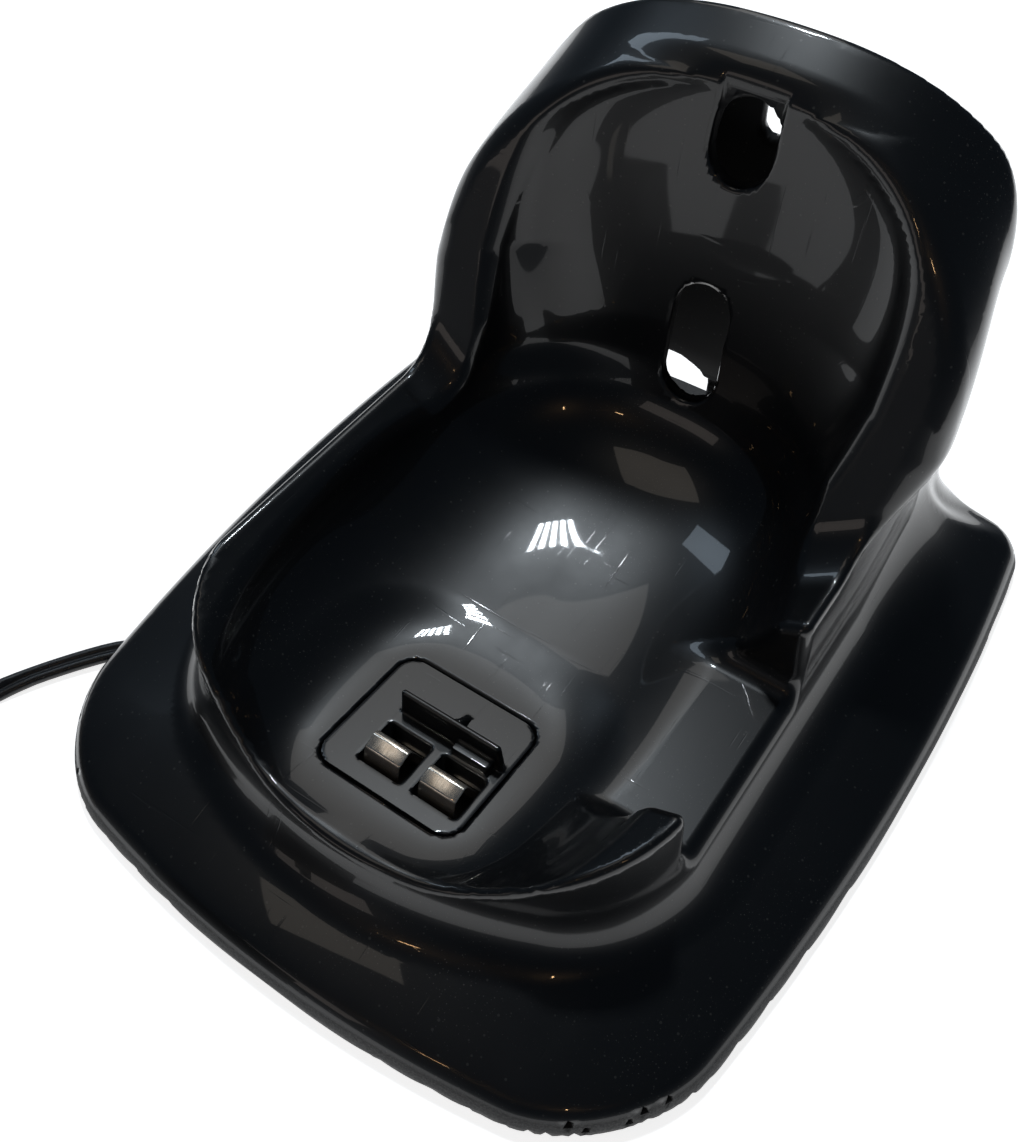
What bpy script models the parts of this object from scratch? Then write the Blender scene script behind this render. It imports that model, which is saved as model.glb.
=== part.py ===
"""Charging base for a hand-held cordless appliance, with its thin twin lead and wall adaptor.

The base is one glossy moulded shell: a low skirt carries a scooped bowl with a cut-down right wall, and a
tall back whose recess has two slots for wall screws. A panel in the bowl's floor carries two spring contacts.
Lengths below are millimetres. +X is the right side, +Y the back, +Z up, and the origin is on the surface the
feet stand on, under the middle of the base.
"""

import math

import bmesh
import bpy
from mathutils import Vector

MM = 0.001

# Base outline, seen from above
HALF_WIDTH = 75.0
SIDE_RADIUS = 492.0
WIDEST_Y = 19.0
FRONT_Y = -86.6
FRONT_RADIUS = 227.0
REAR_Y = 86.0
REAR_RADIUS = 400.0
FRONT_CORNER = 20.0
REAR_CORNER = 8.0
# Skirt: the share of the way from the base outline in to the wall, and the height there
SKIRT = ((0.0, 1.0), (0.01, 4.3), (0.06, 6.0), (0.15, 7.6), (0.3, 9.0), (0.5, 10.0), (0.66, 10.9), (0.78, 12.2),
         (0.88, 14.2), (0.95, 17.0), (1.0, 21.0))
WALL_LEVELS = (28.0, 36.0, 50.0, 65.0, 80.0, 95.0, 112.0)
# Cradle wall and tower, seen from above
WALL_FOOT_WIDTH = 51.5
WALL_DRAFT = 0.075
WALL_DRAFT_ABOVE = 0.01
WALL_DRAFT_CHANGES_Z = 38.0
WALL_FLARE = 5.6
WALL_FRONT_Y = -65.5
WALL_FRONT_RADIUS = 75.0
WALL_FRONT_CORNER = 14.0
WALL_REAR_Y = 80.0
WALL_REAR_DRAFT = 0.09
WALL_REAR_CORNER = 9.0
SKIN = 2.4
# Rim of the cradle: lowest in front, rising to both sides
RIM_LOW = 20.0
RIM_RISE = 15.5
RIM_REACH = 46.0
RIM_POWER = 1.6
# Tower: its leaning front face and its arched top
FACE_Y = 6.4
FACE_LEAN = 0.5
TOP_Z = 95.0
TOP_Y = 54.0
TOP_SLOPE = 0.47
ARCH_WIDTH = 52.0
ARCH_WIDENING = 3.2
ARCH_DROP = 36.0
ARCH_RADIUS = 200.0
# Bowl: half of a superellipsoid, and above it the recess in the tower
BOWL_Y = -12.0
BOWL_TOP = 38.0
BOWL_WIDTH = 43.0
BOWL_FRONT = 68.0
BOWL_BACK = 60.0
BOWL_DEPTH = 24.0
BOWL_POWER = 2.5
RECESS_WIDTH = 39.5
RECESS_WIDEST_Z = 58.0
RECESS_ARCH = 37.0
RECESS_BACK_Y = 41.0
RECESS_BACK_LEAN = 0.18
# Cut-down stretch of the right wall
SHELF_Z = 19.0
SHELF_FRONT_Y = -36.5
SHELF_BACK_Y = 5.0
# Contact panel
PANEL_Y = -39.7
PANEL_Z = 15.4
PANEL_TILT = -math.atan(0.1)
PANEL_SIZE = (30.3, 28.4)
PANEL_CORNER = 4.0
PANEL_GAP = 0.5
FLANGE_SIZE = (47.0, 28.0)
FLANGE_Z = (-5.0, -3.2)
WINDOW_SIZE = (9.6, 9.8)
CONTACT_X = (-3.5, 8.5)
CONTACT_Y = -5.3
CONTACT_WIDTH = 7.7
CONTACT_THICK = 0.4
# Wall-screw slots
SLOT_WIDTH = 12.0
LOWER_SLOT = (32.0, 58.0)
UPPER_SLOT_Z = 78.0
SCREW_SLOT_WIDTH = 5.0
# Bottom cover, feet and screws
PLATE_Z = (1.2, 3.2)
PLATE_INSET = SKIN + 0.5
FOOT_RADIUS = 6.0
FEET = {"front_left": (-53.0, -60.0), "front_right": (53.0, -60.0),
        "rear_left": (-60.0, 62.0), "rear_right": (60.0, 62.0)}
BASE_BOSSES = {"front_left": (-30.0, -53.0, 21.8), "front_right": (30.0, -53.0, 21.8),
               "rear_left": (-45.5, 64.0, 16.0), "rear_right": (45.5, 64.0, 16.0)}
BOSS_RADIUS = 3.6
SCREW_RADIUS = 1.2
CARRIER_SCREW_X = 20.0
# Twin lead: where it passes under the left edge, and its route on the surface
CORD_WIDTH = 4.2
CORD_NOTCH = (-70.5, -52.5)
CORD_HEADING = math.radians(222)
CORD_ROUTE = ((-47.3, -35.6, 5.8), (-51.2, -36.6, 5.8), (-55.4, -39.2, 5.6), (-58.6, -41.9, 4.9),
              (-62.4, -45.3, 3.3), (-66.4, -48.9, 2.4), (-70.5, -52.6, 2.3), (-73.8, -56.8, 2.2),
              (-77.0, -61.6, 2.2), (-79.8, -66.4, 2.2), (-82.0, -71.0, 2.2), (-83.4, -74.6, 2.2),
              (-84.4, -77.6, 2.2))
CLAMP_AT = (-43.1, -35.6)
COIL_AT = (-109.0, -101.0)
COIL_RADIUS = 23.6
COIL_HALF = (6.7, 8.3)
COIL_Z = 9.6
# Plug-in supply, resting on its front with the pins up, beside the coil
ADAPTOR_AT = (-39.1, -137.4)
ADAPTOR_TURN = math.radians(139.7)
ADAPTOR_SIZE = (46.0, 30.0)
ADAPTOR_JOIN = 28.0
ADAPTOR_HIGH = 34.0
PIN_HIGH = 50.0
PIN_APART = 12.7
RELIEF = ((23.3, 4.2), (27.0, 3.8), (32.0, 3.0), (35.0, 2.5))
RELIEF_Z = 13.0
TAIL_LENGTH = 13.0
GAP = 0.3
AROUND = 48


def clear_scene():
    for thing in list(bpy.data.objects):
        bpy.data.objects.remove(thing, do_unlink=True)


def material(name, color, roughness, metallic=0.0):
    found = bpy.data.materials.get(name)
    if found:
        return found
    made = bpy.data.materials.new(name)
    made.use_nodes = True
    shader = made.node_tree.nodes["Principled BSDF"]
    shader.inputs["Base Color"].default_value = (*color, 1.0)
    shader.inputs["Roughness"].default_value = roughness
    shader.inputs["Metallic"].default_value = metallic
    return made


def gloss_black():
    return material("gloss_black", (0.008, 0.009, 0.011), 0.08)


def matt_black():
    return material("matt_black", (0.02, 0.02, 0.021), 0.5)


def rubber():
    return material("rubber", (0.03, 0.03, 0.03), 0.85)


def lead_black():
    return material("lead_black", (0.012, 0.012, 0.013), 0.35)


def plated():
    return material("plated", (0.62, 0.55, 0.45), 0.25, 1.0)


def screw_steel():
    return material("screw_steel", (0.55, 0.55, 0.56), 0.35, 1.0)


def add(name, points, faces, finish, location=(0, 0, 0), tilt=0.0, turn=0.0):
    """A mesh object from points in millimetres, tilted about its own X axis, turned about Z and placed."""
    mesh = bpy.data.meshes.new(name)
    mesh.from_pydata([Vector(p) * MM for p in points], [], faces)
    bm = bmesh.new()
    bm.from_mesh(mesh)
    bmesh.ops.recalc_face_normals(bm, faces=bm.faces)
    bm.to_mesh(mesh)
    bm.free()
    mesh.shade_smooth()
    mesh.set_sharp_from_angle(angle=math.radians(35))
    made = bpy.data.objects.new(name, mesh)
    made.location = Vector(location) * MM
    made.rotation_euler = (tilt, 0.0, turn)
    bpy.context.scene.collection.objects.link(made)
    if finish:
        mesh.materials.append(finish)
    else:
        made.hide_render = True
        made.display_type = "WIRE"
    return made


def loft(name, rings, finish=None, **place):
    """A closed solid through rings of points, from the first ring to the last, with flat ends."""
    count = len(rings[0])
    points = [p for ring in rings for p in ring]
    faces = [tuple(range(count)), tuple(len(points) - count + i for i in range(count))]
    for level in range(len(rings) - 1):
        for i in range(count):
            j = (i + 1) % count
            low, high = level * count, (level + 1) * count
            faces.append((low + i, low + j, high + j, high + i))
    return add(name, points, faces, finish, **place)


def prism(name, outline, low, high, finish=None, axis="Z", **place):
    """A flat outline carried straight along an axis, from low to high."""
    order = {"X": lambda u, v, w: (w, u, v), "Y": lambda u, v, w: (u, w, v), "Z": lambda u, v, w: (u, v, w)}[axis]
    return loft(name, [[order(u, v, w) for u, v in outline] for w in (low, high)], finish, **place)


def turned(name, profile, finish=None, segments=20, **place):
    """A solid of revolution about its own Z axis, from (radius, height) pairs going up."""
    angles = [math.tau * i / segments for i in range(segments)]
    rings = [[(r * math.cos(a), r * math.sin(a), z) for a in angles] for r, z in profile]
    return loft(name, rings, finish, **place)


def combine(target, operation, *others):
    for other in others:
        step = target.modifiers.new(other.name, "BOOLEAN")
        step.operation = operation
        step.solver = "EXACT"
        step.object = other
        other.hide_render = True
        other.display_type = "WIRE"
    return target


def corner(a, b, radius):
    """Distance to the corner of two edges, rounded to a radius, from the distances to each of them."""
    outside = math.hypot(max(a + radius, 0.0), max(b + radius, 0.0))
    return min(max(a + radius, b + radius), 0.0) + outside - radius


def base_edge(x, y):
    """Signed distance to the base outline, below zero inside it."""
    bow = SIDE_RADIUS - math.sqrt(SIDE_RADIUS**2 - (y - WIDEST_Y) ** 2)
    side = abs(x) - (HALF_WIDTH - bow)
    front = FRONT_Y + x * x / (2 * FRONT_RADIUS) - y
    rear = y - REAR_Y + x * x / (2 * REAR_RADIUS)
    return max(corner(side, front, FRONT_CORNER), corner(side, rear, REAR_CORNER))


def smooth_step(share):
    share = min(max(share, 0.0), 1.0)
    return share * share * (3 - 2 * share)


def wall_edge(x, y, z):
    """Signed distance to the cradle's and tower's outer wall at one height."""
    above = max(z - WALL_DRAFT_CHANGES_Z, 0.0)
    half_width = WALL_FOOT_WIDTH - WALL_DRAFT * (z - above) - WALL_DRAFT_ABOVE * above
    flare = smooth_step((z - 36.0) / 18.0) * smooth_step((110.0 - z) / 30.0) * smooth_step((68.0 - y) / 28.0)
    side = abs(x) - half_width - WALL_FLARE * flare * smooth_step((y - 10.0) / 10.0)
    front = WALL_FRONT_Y + x * x / (2 * WALL_FRONT_RADIUS) - y
    rear = y - (WALL_REAR_Y - WALL_REAR_DRAFT * z)
    return max(corner(side, front, WALL_FRONT_CORNER), corner(side, rear, WALL_REAR_CORNER))


def reach(distance, angle, inset):
    """How far from the axis an outline lies in one direction, found by halving."""
    near, far = 0.0, 160.0
    for _ in range(40):
        middle = (near + far) / 2
        if distance(middle * math.cos(angle), middle * math.sin(angle)) < -inset:
            near = middle
        else:
            far = middle
    return near


def directions():
    """Directions round the axis, closer together where the outline has its corners."""
    return [math.tau * i / AROUND + 0.11 * math.sin(4 * math.tau * i / AROUND) for i in range(AROUND)]


def outer_body(name, inset=0.0, drop=0.0):
    """Skirt, wall and tower as one block. Inset and drop give the hollow inside it."""
    rings = []
    base = [reach(base_edge, a, inset) for a in directions()]
    for share, z in SKIRT:
        wall = [reach(lambda x, y: wall_edge(x, y, 21.0), a, inset) for a in directions()]
        level = z - drop if share > 0.01 else z
        if inset:
            level = {0.0: -4.0, 0.01: 3.35}.get(share, level)
        rings.append([((b + (w - b) * share) * math.cos(a), (b + (w - b) * share) * math.sin(a), level)
                      for b, w, a in zip(base, wall, directions())])
    for z in WALL_LEVELS:
        wall = [reach(lambda x, y, z=z: wall_edge(x, y, z), a, inset) for a in directions()]
        rings.append([(w * math.cos(a), w * math.sin(a), z - drop) for w, a in zip(wall, directions())])
    return loft(name, rings)


def rim_height(x):
    return RIM_LOW + RIM_RISE * (abs(x) / RIM_REACH) ** RIM_POWER


def space_in_front(name, grow=0.0):
    """Everything above the cradle's rim and in front of the tower's leaning face."""
    steps = [5.0 * i for i in range(-12, 13)]
    section = [(x, rim_height(x) - grow) for x in steps] + [(62.0, 140.0), (-62.0, 140.0)]
    front = [(x, -110.0, z) for x, z in section]
    back = [(x, FACE_Y + FACE_LEAN * z + grow * 1.15, z) for x, z in section]
    return loft(name, [front, back])


def arch_width(y):
    """Half the arch's width, which grows a little towards the front."""
    return ARCH_WIDTH + ARCH_WIDENING * smooth_step((72.0 - y) / 26.0)


def arch_drop(x, width):
    """How far the tower's top falls away from its middle."""
    return ARCH_DROP * (1 - max(0.0, 1 - (abs(x) / width) ** 3) ** (1 / 3)) + x * x / (2 * ARCH_RADIUS)


def space_above(name, grow=0.0):
    """Everything above the tower's arched top, which rises a little towards the back."""
    rings = []
    for y in (26.0, 46.0, 52.0, 59.0, 66.0, 72.0, 110.0):
        width = arch_width(y)
        steps = [width * math.sin(math.radians(a)) for a in range(-90, 91, 10)]
        section = [(x, TOP_Z - arch_drop(x, width) - grow) for x in steps]
        section = [(-62.0, section[0][1]), *section, (62.0, section[-1][1]), (62.0, 140.0), (-62.0, 140.0)]
        rings.append([(x, y, z + TOP_SLOPE * (y - TOP_Y)) for x, z in section])
    return loft(name, rings)


def superellipse(a, back, front, y):
    power = 2 / BOWL_POWER
    ring = []
    for angle in directions():
        c, s = math.cos(angle), math.sin(angle)
        reach_y = back if s > 0 else front
        ring.append((a * math.copysign(abs(c) ** power, c), y + reach_y * math.copysign(abs(s) ** power, s)))
    return ring


def recess_width(z):
    if z < RECESS_WIDEST_Z:
        return RECESS_WIDTH - 0.17 * (RECESS_WIDEST_Z - z)
    return RECESS_WIDTH * max(0.0, 1 - ((z - RECESS_WIDEST_Z) / RECESS_ARCH) ** 3) ** (1 / 3)


def scoop(name, grow=0.0):
    """The bowl, and above it the recess in the tower. Grow gives the skin around them."""
    rings = []
    for step in range(1, 10):
        tilt = math.radians(10 * step)
        share, depth = math.sin(tilt) ** (2 / BOWL_POWER), math.cos(tilt) ** (2 / BOWL_POWER)
        z = BOWL_TOP - (BOWL_DEPTH + grow) * depth
        ring = superellipse((BOWL_WIDTH + grow) * share, (BOWL_BACK + grow) * share, (BOWL_FRONT + grow) * share,
                            BOWL_Y)
        rings.append([(x, y, z) for x, y in ring])
    for z in (42.0, 50.0, 58.0, 66.0, 74.0, 81.0, 86.0, 90.0, 93.0, 94.7):
        centre = FACE_Y - 2 + FACE_LEAN * z
        back = RECESS_BACK_Y + RECESS_BACK_LEAN * z - centre + grow
        width = recess_width(z) + grow
        rings.append([(x, y, z + (grow if z > 70 else 0.0)) for x, y in
                      superellipse(width, back, centre + 100.0, centre)])
    return loft(name, rings)


def shelf_cut(name, grow=0.0):
    outline = [(12.0, SHELF_FRONT_Y - grow), (70.0, SHELF_FRONT_Y - grow),
               (70.0, SHELF_BACK_Y + grow), (12.0, SHELF_BACK_Y + grow)]
    return prism(name, outline, SHELF_Z - grow, 62.0)


def rounded_box(width, depth, radius, centre=(0.0, 0.0), steps=5):
    outline = []
    for k, (sx, sy) in enumerate(((1, 1), (-1, 1), (-1, -1), (1, -1))):
        cx, cy = centre[0] + sx * (width / 2 - radius), centre[1] + sy * (depth / 2 - radius)
        for i in range(steps + 1):
            a = math.radians(90 * k + 90 * i / steps)
            outline.append((cx + radius * math.cos(a), cy + radius * math.sin(a)))
    return outline


def obround(width, low, high, steps=8):
    """An upright slot's outline, with round ends."""
    r = width / 2
    top = [(r * math.cos(math.pi * i / steps), high - r + r * math.sin(math.pi * i / steps))
           for i in range(steps + 1)]
    return top + [(-x, low + high - z) for x, z in top]


def cord_notch(name, width, high, reach_in, reach_out):
    """A channel along the lead where it passes under the left edge."""
    ux, uy = math.cos(CORD_HEADING), math.sin(CORD_HEADING)
    outline = [(CORD_NOTCH[0] + ux * along - uy * across, CORD_NOTCH[1] + uy * along + ux * across)
               for along, across in ((-reach_in, -width / 2), (reach_out, -width / 2),
                                     (reach_out, width / 2), (-reach_in, width / 2))]
    return prism(name, outline, -2.0, high)


def upper_housing():
    body = outer_body("upper_housing")
    body.data.materials.append(gloss_black())
    body.hide_render = False
    body.display_type = "TEXTURED"
    combine(body, "DIFFERENCE", space_in_front("above_rim"), space_above("above_arch"), scoop("bowl_space"),
            shelf_cut("shelf_space"))
    hollow = outer_body("hollow", SKIN, SKIN)
    combine(hollow, "DIFFERENCE", space_in_front("rim_skin", SKIN), space_above("arch_skin", SKIN),
            scoop("bowl_skin", SKIN), shelf_cut("shelf_skin", SKIN))
    combine(body, "DIFFERENCE", hollow)
    for place, (x, y, top) in BASE_BOSSES.items():
        profile = ((BOSS_RADIUS, PLATE_Z[1] + GAP), (BOSS_RADIUS, top))
        combine(body, "UNION", turned(f"boss_{place}", profile, segments=12, location=(x, y, 0)))
        hole = ((SCREW_RADIUS + GAP, 0.0), (SCREW_RADIUS + GAP, PLATE_Z[1] + 8.0))
        combine(body, "DIFFERENCE", turned(f"boss_hole_{place}", hole, segments=12, location=(x, y, 0)))
    for side in (-1, 1):
        boss = ((3.2, 12.9), (3.2, 17.0))
        hole = ((1.3, 8.0), (1.3, 15.6))
        place = {"location": (side * CARRIER_SCREW_X, PANEL_Y, 0)}
        combine(body, "UNION", turned(f"carrier_boss_{side}", boss, segments=12, **place))
        combine(body, "DIFFERENCE", turned(f"carrier_boss_hole_{side}", hole, segments=12, **place))
    opening = rounded_box(PANEL_SIZE[0] + 2 * PANEL_GAP, PANEL_SIZE[1] + 2 * PANEL_GAP, PANEL_CORNER,
                          (0.0, PANEL_Y))
    top_y = TOP_Y + 4.6
    cuts = [
        prism("panel_opening", opening, 5.0, 30.0),
        prism("lower_slot", obround(SLOT_WIDTH, *LOWER_SLOT), 34.0, 56.0, axis="Y"),
        prism("upper_slot", obround(SLOT_WIDTH, UPPER_SLOT_Z, 125.0), 38.0, top_y, axis="Y"),
        prism("upper_slot_deep", obround(SLOT_WIDTH - 1, UPPER_SLOT_Z + 0.5, 93.0), 38.0, 63.0, axis="Y"),
        prism("lower_screw_slot", obround(SCREW_SLOT_WIDTH, 40.0, 52.0), 66.0, 90.0, axis="Y"),
        prism("upper_screw_slot", obround(SCREW_SLOT_WIDTH, 80.0, 92.0), 62.0, 90.0, axis="Y"),
        prism("rear_notch", obround(12.0, -12.0, 17.0), 70.0, 95.0, axis="Y", location=(-16.0, 0, 0)),
        cord_notch("cord_notch_cut", CORD_WIDTH + 0.9, 5.2, 10.0, 8.0),
    ]
    combine(body, "DIFFERENCE", *cuts)
    return body


def base_plate():
    outline = [(r * math.cos(a), r * math.sin(a)) for a in directions()
               for r in (reach(base_edge, a, PLATE_INSET),)]
    plate = prism("base_plate", outline, *PLATE_Z, matt_black())
    for place, (x, y, _) in BASE_BOSSES.items():
        hole = ((SCREW_RADIUS + GAP, 0.0), (SCREW_RADIUS + GAP, 6.0))
        combine(plate, "DIFFERENCE", turned(f"plate_hole_{place}", hole, segments=12, location=(x, y, 0)))
    combine(plate, "DIFFERENCE", cord_notch("plate_notch_cut", CORD_WIDTH + 0.9, 6.0, 19.0, 8.0))
    combine(plate, "DIFFERENCE", prism("plate_rear_cut", rounded_box(60.0, 34.0, 5.0, (0.0, 60.0)), 0.0, 6.0))
    return plate


def feet():
    for place, (x, y) in FEET.items():
        profile = ((FOOT_RADIUS - 0.4, 0.0), (FOOT_RADIUS, 0.4), (FOOT_RADIUS, PLATE_Z[0] - GAP))
        turned(f"foot_{place}", profile, rubber(), location=(x, y, 0))


def screw(name, x, y, head_z, tip_z, head_radius):
    """A pan-head screw that goes in from below, with a cross recess."""
    head_top = head_z + 0.9
    profile = ((head_radius - 0.5, head_z), (head_radius, head_z + 0.4), (head_radius, head_top),
               (SCREW_RADIUS, head_top), (SCREW_RADIUS, tip_z - 0.8), (0.4, tip_z))
    made = turned(name, profile, screw_steel(), location=(x, y, 0))
    for turn in (0, 1):
        size = (2.6, 0.6) if turn else (0.6, 2.6)
        slot = prism(f"{name}_recess_{turn}", rounded_box(*size, 0.1, steps=1), head_z - 0.5, head_z + 0.5,
                     location=(x, y, 0))
        combine(made, "DIFFERENCE", slot)
    return made


def screws():
    for place, (x, y, _) in BASE_BOSSES.items():
        screw(f"base_screw_{place}", x, y, 0.3, PLATE_Z[1] + 6.5, 2.6)
    for side, name in ((-1, "left"), (1, "right")):
        screw(f"carrier_screw_{name}", side * CARRIER_SCREW_X, PANEL_Y, 8.9, 15.2, 2.3)


def on_panel():
    """Placement of pieces that lie square to the tilted contact panel."""
    return {"location": (0.0, PANEL_Y, PANEL_Z), "tilt": PANEL_TILT}


def contact_carrier():
    plate = prism("contact_carrier", rounded_box(*PANEL_SIZE, PANEL_CORNER), FLANGE_Z[0] + 0.2, 0.0,
                  gloss_black(), **on_panel())
    flange = prism("carrier_flange", rounded_box(*FLANGE_SIZE, 3.0), *FLANGE_Z, **on_panel())
    rib = prism("carrier_rib", [(-8.4, 2.5), (14.4, 2.5), (14.4, 3.7), (-8.4, 3.7)], -2.0, 5.5, **on_panel())
    gusset = prism("carrier_gusset", [(3.4, -0.5), (9.6, -0.5), (3.4, 4.0)], 1.9, 3.1, axis="X", **on_panel())
    ledge = prism("carrier_ledge", [(4.6, 0.3), (12.4, 0.3), (12.4, 2.8), (4.6, 2.8)], -2.0, 2.0, **on_panel())
    combine(plate, "UNION", flange, rib, gusset, ledge)
    for i, x in enumerate(CONTACT_X):
        window = rounded_box(*WINDOW_SIZE, 0.8, (x, CONTACT_Y), steps=2)
        combine(plate, "DIFFERENCE", prism(f"window_{i}", window, -8.0, 1.5, **on_panel()))
    for side in (-1, 1):
        hole = ((SCREW_RADIUS + GAP, 5.0), (SCREW_RADIUS + GAP, 20.0))
        combine(plate, "DIFFERENCE", turned(f"ear_hole_{side}", hole, segments=12,
                                            location=(side * CARRIER_SCREW_X, PANEL_Y, 0)))
    return plate


def strip_outline(line, thick):
    """Both sides of a bent strip of sheet metal, mitred at its bends."""
    sides = ([], [])
    for i, (y, z) in enumerate(line):
        back = Vector(line[i]) - Vector(line[i - 1]) if i else Vector(line[1]) - Vector(line[0])
        ahead = Vector(line[i + 1]) - Vector(line[i]) if i + 1 < len(line) else back
        normals = [Vector((-v.y, v.x)).normalized() for v in (back, ahead)]
        mitre = (normals[0] + normals[1]).normalized()
        width = thick / 2 / max(0.5, mitre.dot(normals[0]))
        for side, sign in zip(sides, (1, -1)):
            side.append((y + sign * mitre.x * width, z + sign * mitre.y * width))
    return sides[0] + sides[1][::-1]


def contacts():
    """Spring strips: a steep front leg, a sloping contact face on top, and a leg down to the tail."""
    line = [(CONTACT_Y - 3.9, -5.6), (CONTACT_Y - 4.0, 0.0), (CONTACT_Y - 3.5, 2.6), (CONTACT_Y - 1.1, 3.6),
            (CONTACT_Y - 0.2, 3.4), (CONTACT_Y + 2.6, -1.6), (CONTACT_Y + 3.6, -5.8), (CONTACT_Y + 7.5, -6.2)]
    for name, x in zip(("left", "right"), CONTACT_X):
        prism(f"contact_{name}", strip_outline(line, CONTACT_THICK), x - CONTACT_WIDTH / 2, x + CONTACT_WIDTH / 2,
              plated(), axis="X", **on_panel())


def terminals():
    """Solder lugs fixed under the carrier, where the inner wires end."""
    line = [(5.4, -5.6), (10.6, -5.6), (10.6, -7.6)]
    for name, x in zip(("left", "right"), CONTACT_X):
        prism(f"terminal_{name}", strip_outline(line, 0.5), x - 1.8, x + 1.8, plated(), axis="X", **on_panel())


def tube(name, points, radius, finish, resolution=2):
    """A round lead along a smooth curve through its route's points."""
    vectors = [Vector(p) for p in points]
    step = 2.4 * radius * 2
    smooth = []
    for i in range(len(vectors) - 1):
        before = vectors[max(i - 1, 0)]
        start, end = vectors[i], vectors[i + 1]
        after = vectors[min(i + 2, len(vectors) - 1)]
        pieces = max(1, round((end - start).length / step))
        for k in range(pieces):
            t = k / pieces
            smooth.append(0.5 * (2 * start + (end - before) * t
                                 + (2 * before - 5 * start + 4 * end - after) * t**2
                                 + (3 * start - before - 3 * end + after) * t**3))
    smooth.append(vectors[-1])
    curve = bpy.data.curves.new(name, "CURVE")
    curve.dimensions = "3D"
    curve.bevel_depth = radius * MM
    curve.bevel_resolution = resolution
    curve.render_resolution_u = 0
    curve.use_fill_caps = True
    spline = curve.splines.new("POLY")
    spline.points.add(len(smooth) - 1)
    for point, place in zip(spline.points, smooth):
        point.co = (*(place * MM), 1.0)
        point.radius = 1.0
    curve.materials.append(finish)
    made = bpy.data.objects.new(name, curve)
    bpy.context.scene.collection.objects.link(made)
    return made


def inner_wires():
    """The lead's two cores, from the clamp to the solder lugs."""
    routes = {"left": ((-39.3, -37.6, 6.0), (-32.0, -37.4, 6.0), (-24.0, -34.6, 5.6), (-15.0, -31.8, 5.4),
                       (-9.0, -30.8, 5.4), (-4.5, -29.8, 5.4)),
              "right": ((-39.3, -33.6, 6.0), (-32.0, -33.0, 6.0), (-24.0, -29.6, 5.6), (-12.0, -26.2, 5.4),
                        (0.0, -26.0, 5.4), (7.5, -29.2, 5.4))}
    for name, route in routes.items():
        tube(f"wire_{name}", route, 0.65, lead_black())


def cord_clamp():
    """A bar across the lead inside the base, with two screws up into the shell."""
    x, y = CLAMP_AT
    outline = rounded_box(7.0, 17.0, 1.5)
    bar = prism("cord_clamp", outline, PLATE_Z[1] + GAP, 10.0, matt_black(), location=(x, y, 0))
    hole = ((SCREW_RADIUS + GAP, 0.0), (SCREW_RADIUS + GAP, 14.0))
    screw_profile = ((SCREW_RADIUS, PLATE_Z[1] + 0.9), (SCREW_RADIUS, 10.3), (2.2, 10.3), (2.2, 11.3))
    for k, side in enumerate((-1, 1)):
        place = (x, y + side * 5.9, 0)
        combine(bar, "DIFFERENCE", turned(f"clamp_hole_{k}", hole, segments=12, location=place))
        turned(f"clamp_screw_{k + 1}", screw_profile, screw_steel(), location=place)
    return bar


def power_lead():
    tube("power_cord", CORD_ROUTE, CORD_WIDTH / 2, lead_black(), 3)
    half_width, half_height = COIL_HALF
    section = rounded_box(2 * half_width, 2 * half_height, 2.5, (COIL_RADIUS, COIL_Z), steps=2)
    segments = 40
    rings = [[(r * math.cos(a), r * math.sin(a), z) for r, z in section]
             for a in (math.tau * i / segments for i in range(segments))]
    count = len(section)
    points = [p for ring in rings for p in ring]
    faces = []
    for k in range(segments):
        for i in range(count):
            j, ahead = (i + 1) % count, (k + 1) % segments
            faces.append((k * count + i, k * count + j, ahead * count + j, ahead * count + i))
    add("cord_coil", points, faces, lead_black(), location=(*COIL_AT, 0))
    tie_outer = rounded_box(2 * half_width + 2.6, 2 * half_height + 2.2, 2.4, (-COIL_RADIUS, COIL_Z), steps=2)
    tie_inner = rounded_box(2 * half_width + 0.8, 2 * half_height + 0.6, 2.0, (-COIL_RADIUS, COIL_Z), steps=2)
    tie = prism("cord_tie", tie_outer, -2.5, 2.5, matt_black(), axis="Y", location=(*COIL_AT, 0))
    combine(tie, "DIFFERENCE", prism("tie_inside", tie_inner, -4.0, 4.0, axis="Y", location=(*COIL_AT, 0)))


def adaptor():
    """The supply's case and cover, its two flat pins, and the lead's end in a ribbed relief."""
    where = {"location": (*ADAPTOR_AT, 0.0), "turn": ADAPTOR_TURN}
    outline = rounded_box(*ADAPTOR_SIZE, 4.0)
    prism("adaptor_case", outline, 0.0, ADAPTOR_JOIN, matt_black(), **where)
    prism("adaptor_cover", outline, ADAPTOR_JOIN + GAP, ADAPTOR_HIGH, matt_black(), **where)
    for k, side in enumerate((-1, 1)):
        blade = rounded_box(6.3, 1.5, 0.4, (0.0, side * PIN_APART / 2), steps=1)
        prism(f"adaptor_pin_{k + 1}", blade, ADAPTOR_HIGH + GAP, PIN_HIGH, plated(), **where)
    rings = [[(x, r * math.cos(a), RELIEF_Z + r * math.sin(a)) for a in (math.tau * i / 16 for i in range(16))]
             for x, r in RELIEF]
    loft("adaptor_strain_relief", rings, lead_black(), **where)
    end = RELIEF[-1][0] + GAP
    ux, uy = math.cos(ADAPTOR_TURN), math.sin(ADAPTOR_TURN)
    tail = [(ADAPTOR_AT[0] + ux * (end + t), ADAPTOR_AT[1] + uy * (end + t), RELIEF_Z)
            for t in (0.0, TAIL_LENGTH / 2, TAIL_LENGTH)]
    tube("cord_tail", tail, CORD_WIDTH / 2, lead_black(), 3)


def main():
    clear_scene()
    upper_housing()
    base_plate()
    feet()
    screws()
    contact_carrier()
    contacts()
    terminals()
    inner_wires()
    cord_clamp()
    power_lead()
    adaptor()


main()
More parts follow.
